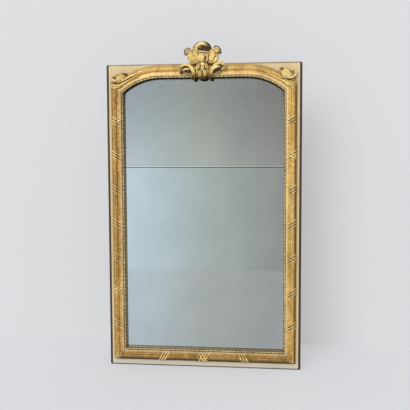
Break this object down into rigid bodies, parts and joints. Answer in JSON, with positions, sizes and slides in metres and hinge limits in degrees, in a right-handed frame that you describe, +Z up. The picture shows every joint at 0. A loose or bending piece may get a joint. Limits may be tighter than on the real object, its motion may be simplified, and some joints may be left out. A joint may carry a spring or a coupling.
{
  "type": "pier mirror",
  "caption": "Tall pier mirror: painted panel with applied gilt moulding, arched head, carved shell crest, two silvered plates and swinging hanging rings at the back.",
  "frame": {"origin": "middle of the panel's foot: X = 0 at mid-width, Y = 0 at mid-depth of the panel without its carving, Z = 0 on the floor", "axes": "+Z up, the mirror faces -Y, +X to the viewer's right"},
  "size_m": [1, 0.1002, 1.677],
  "materials": {
    "pine_frame": "bare old pine, dull",
    "oak_peg": "bare oak, dull",
    "back_board": "bare old pine board, dusty",
    "cream_paint": "old cream paint on wood, eggshell",
    "dark_strip": "dark stained wood, worn, satin",
    "gilt_moulding": "water gilding over ochre and red bole on carved wood, worn",
    "gilt_pearl": "water gilding on a carved pearl string, worn",
    "gilt_carving": "water gilding on carved wood, rubbed on the heights",
    "crest_board": "bare limewood, ochre wash",
    "silvered_glass": "old silvered plate glass, slightly grey",
    "iron": "wrought iron, dull, slightly rusted"
  },
  "bodies": {
    "mirror": {"frame_stile_left": "pine_frame", "frame_stile_right": "pine_frame", "frame_rail_top": "pine_frame", "frame_rail_hanging": "pine_frame", "frame_rail_middle": "pine_frame", "frame_rail_bottom": "pine_frame", "tenon_pegs": "oak_peg", "back_board_upper": "back_board", "back_board_middle": "back_board", "back_board_lower": "back_board", "back_board_screws": "iron", "face_stile_left": "cream_paint", "face_stile_right": "cream_paint", "face_rail_bottom": "cream_paint", "face_crown": "cream_paint", "face_haunch_left": "cream_paint", "face_haunch_right": "cream_paint", "edge_strip_left": "dark_strip", "edge_strip_right": "dark_strip", "edge_strip_top": "dark_strip", "edge_strip_bottom": "dark_strip", "moulding_left": "gilt_moulding", "moulding_right": "gilt_moulding", "moulding_bottom": "gilt_moulding", "moulding_crown": "gilt_moulding", "moulding_shoulder_left": "gilt_moulding", "moulding_shoulder_right": "gilt_moulding", "pearls_left": "gilt_pearl", "pearls_right": "gilt_pearl", "pearls_bottom": "gilt_pearl", "pearls_crown": "gilt_pearl", "pearls_shoulder_left": "gilt_pearl", "pearls_shoulder_right": "gilt_pearl", "ribbon_ties_left": "gilt_carving", "ribbon_ties_right": "gilt_carving", "ribbon_ties_bottom": "gilt_carving", "corner_spray_left": "gilt_carving", "corner_spray_right": "gilt_carving", "foot_leaf_left": "gilt_carving", "foot_leaf_right": "gilt_carving", "crest_board": "crest_board", "crest_hood": "gilt_carving", "crest_shell": "gilt_carving", "crest_ear_left": "gilt_carving", "crest_ear_right": "gilt_carving", "crest_scroll_left": "gilt_carving", "crest_scroll_right": "gilt_carving", "crest_boss": "gilt_carving", "crest_screws": "iron", "mirror_plate_upper": "silvered_glass", "mirror_plate_lower": "silvered_glass", "setting_blocks": "pine_frame", "glazing_blocks": "pine_frame", "hanger_plate_left": "iron", "hanger_plate_right": "iron", "hanger_screws": "iron"},
    "ring_left": {"hanger_ring_left": "iron"},
    "ring_right": {"hanger_ring_right": "iron"}
  },
  "joints": [
    {"name": "ring_left_swing", "type": "hinge", "parent": "mirror", "child": "ring_left", "pos_m": [-0.3, 0.0166, 1.33], "axis": [1, 0, 0], "range_deg": [0, 180]},
    {"name": "ring_right_swing", "type": "hinge", "parent": "mirror", "child": "ring_right", "pos_m": [0.3, 0.0166, 1.33], "axis": [1, 0, 0], "range_deg": [0, 180]}
  ]
}
